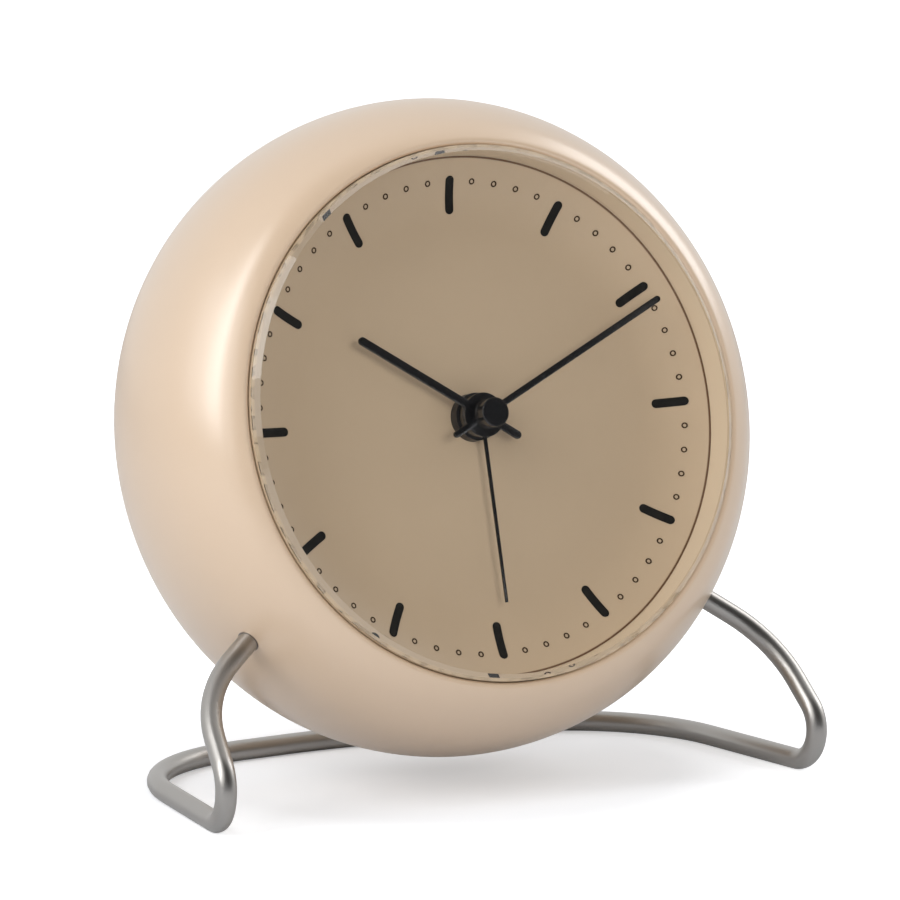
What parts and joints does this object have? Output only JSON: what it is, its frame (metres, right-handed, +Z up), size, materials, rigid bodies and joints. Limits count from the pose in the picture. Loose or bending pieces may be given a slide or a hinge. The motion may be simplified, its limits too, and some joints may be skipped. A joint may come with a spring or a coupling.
{
  "type": "table alarm clock",
  "caption": "Round table alarm clock: tilted dial with hour, minute and alarm hands under a bevelled lens, in a gloss shell carried by a bent steel rod stand, with rear setting knobs.",
  "frame": {"origin": "on the surface the clock stands on, under the middle of its overall box", "axes": "+Z up, -Y towards the viewer in front of the dial, +X to the right of the dial as the viewer sees it"},
  "size_m": [0.1132, 0.067, 0.1129],
  "materials": {
    "shell_gloss": "smooth gloss, sand beige",
    "cover_satin": "fine satin, sand beige",
    "steel_rod": "satin, drawn along the rod",
    "screw_steel": "turned",
    "lens_clear": "clear, polished bevel",
    "gasket_clear": "soft, sand beige",
    "ring_satin": "satin, pale beige",
    "dial_paint": "satin, warm beige",
    "ink_black": "printed ink",
    "ink_brown": "printed ink",
    "hand_black": "gloss black",
    "carrier_plastic": "moulded",
    "movement_grey": "moulded",
    "gear_white": "moulded",
    "wheel_brass": "turned and cut",
    "magnet_dark": "sintered",
    "core_iron": "stamped",
    "coil_copper": "enamelled copper wire",
    "board_green": "solder mask",
    "chip_black": "moulded resin",
    "crystal_can": "plain can",
    "spring_bronze": "sprung strip",
    "switch_black": "moulded",
    "battery_jacket": "plain film jacket",
    "contact_nickel": "nickel plated"
  },
  "bodies": {
    "case": {"housing": "shell_gloss", "rear_cover": "cover_satin", "rear_cover_screws": "screw_steel", "stand": "steel_rod", "stand_screws": "screw_steel", "stand_washers": "screw_steel", "lens": "lens_clear", "lens_gasket": "gasket_clear", "dial_ring": "ring_satin", "dial": "dial_paint", "hour_markers": "ink_black", "minute_dots": "ink_brown", "dial_carrier": "carrier_plastic", "carrier_screws": "screw_steel", "movement_base": "movement_grey", "movement_cover": "movement_grey", "movement_screws": "screw_steel", "train_plate": "movement_grey", "stator": "core_iron", "coil_core": "core_iron", "coil": "coil_copper", "circuit_board": "board_green", "control_chip": "chip_black", "quartz_crystal": "crystal_can", "alarm_contact": "spring_bronze", "buzzer": "switch_black", "alarm_switch_body": "switch_black", "snooze_switch": "switch_black", "battery": "battery_jacket", "battery_plus_contact": "contact_nickel", "battery_minus_contact": "contact_nickel"},
    "minute_hand_group": {"minute_hand": "hand_black", "hand_cap": "hand_black", "cannon_pinion": "wheel_brass"},
    "hour_hand_group": {"hour_hand": "hand_black", "hour_wheel": "gear_white"},
    "alarm_hand_group": {"alarm_hand": "hand_black", "alarm_wheel": "gear_white"},
    "minute_wheel_body": {"minute_wheel": "gear_white"},
    "time_set_group": {"time_set_knob": "cover_satin", "time_set_shaft": "gear_white"},
    "alarm_set_group": {"alarm_set_knob": "cover_satin", "alarm_set_shaft": "gear_white"},
    "centre_wheel_body": {"centre_wheel": "wheel_brass"},
    "third_wheel_body": {"third_wheel": "gear_white"},
    "fourth_wheel_body": {"fourth_wheel": "gear_white"},
    "fifth_wheel_body": {"fifth_wheel": "gear_white"},
    "rotor_group": {"rotor_pinion": "gear_white", "rotor_magnet": "magnet_dark"},
    "alarm_switch_body_part": {"alarm_switch": "switch_black"},
    "snooze_button_body": {"snooze_button": "cover_satin"},
    "battery_door_body": {"battery_door": "cover_satin"}
  },
  "joints": [
    {"name": "minute_hand_turn", "type": "hinge", "parent": "case", "child": "minute_hand_group", "pos_m": [0, -0.0133, 0.0619], "axis": [0, 0.9703, -0.2419], "continuous": true},
    {"name": "hour_hand_turn", "type": "hinge", "parent": "case", "child": "hour_hand_group", "pos_m": [0, -0.0133, 0.0619], "axis": [0, 0.9703, -0.2419], "continuous": true},
    {"name": "minute_wheel_turn", "type": "hinge", "parent": "case", "child": "minute_wheel_body", "pos_m": [-0.00783, -0.00061, 0.06112], "axis": [0, 0.9703, -0.2419], "continuous": true},
    {"name": "time_set_turn", "type": "hinge", "parent": "case", "child": "time_set_group", "pos_m": [-0.0125, 0.00101, 0.06761], "axis": [0, 0.9703, -0.2419], "continuous": true},
    {"name": "alarm_hand_turn", "type": "hinge", "parent": "case", "child": "alarm_hand_group", "pos_m": [0, -0.0133, 0.0619], "axis": [0, 0.9703, -0.2419], "continuous": true},
    {"name": "alarm_set_turn", "type": "hinge", "parent": "case", "child": "alarm_set_group", "pos_m": [0.0125, 0.00101, 0.06761], "axis": [0, 0.9703, -0.2419], "continuous": true},
    {"name": "fifth_wheel_turn", "type": "hinge", "parent": "case", "child": "fifth_wheel_body", "pos_m": [0.00606, -0.00395, 0.04772], "axis": [0, 0.9703, -0.2419], "continuous": true},
    {"name": "rotor_turn", "type": "hinge", "parent": "case", "child": "rotor_group", "pos_m": [0.01226, -0.0045, 0.04553], "axis": [0, 0.9703, -0.2419], "continuous": true},
    {"name": "fourth_wheel_turn", "type": "hinge", "parent": "case", "child": "fourth_wheel_body", "pos_m": [-0.00103, -0.00426, 0.0465], "axis": [0, 0.9703, -0.2419], "continuous": true},
    {"name": "third_wheel_turn", "type": "hinge", "parent": "case", "child": "third_wheel_body", "pos_m": [-0.00885, -0.00267, 0.05287], "axis": [0, 0.9703, -0.2419], "continuous": true},
    {"name": "centre_wheel_turn", "type": "hinge", "parent": "case", "child": "centre_wheel_body", "pos_m": [0, -0.00117, 0.05888], "axis": [0, 0.9703, -0.2419], "continuous": true},
    {"name": "alarm_switch_slide", "type": "slide", "parent": "case", "child": "alarm_switch_body_part", "axis": [1, 0, 0], "range_m": [0, 0.004]},
    {"name": "snooze_button_press", "type": "slide", "parent": "case", "child": "snooze_button_body", "axis": [0, -0.9703, 0.2419], "range_m": [0, 0.0008], "stiffness_N_per_m": 300, "springref_m": -0.0005},
    {"name": "battery_door_open", "type": "hinge", "parent": "case", "child": "battery_door_body", "pos_m": [0, 0.01638, 0.0309], "axis": [-1, 0, 0], "range_deg": [0, 95]}
  ],
  "couplings": [
    {"joint": "hour_hand_turn", "follows": "minute_hand_turn", "ratio": 0.083333},
    {"joint": "minute_wheel_turn", "follows": "minute_hand_turn", "ratio": -0.33333},
    {"joint": "time_set_turn", "follows": "minute_hand_turn", "ratio": 1},
    {"joint": "alarm_set_turn", "follows": "alarm_hand_turn", "ratio": -2},
    {"joint": "rotor_turn", "follows": "fifth_wheel_turn", "ratio": -4.5},
    {"joint": "fourth_wheel_turn", "follows": "fifth_wheel_turn", "ratio": -0.2},
    {"joint": "third_wheel_turn", "follows": "fifth_wheel_turn", "ratio": 0.026667},
    {"joint": "centre_wheel_turn", "follows": "fifth_wheel_turn", "ratio": -0.0033333}
  ]
}
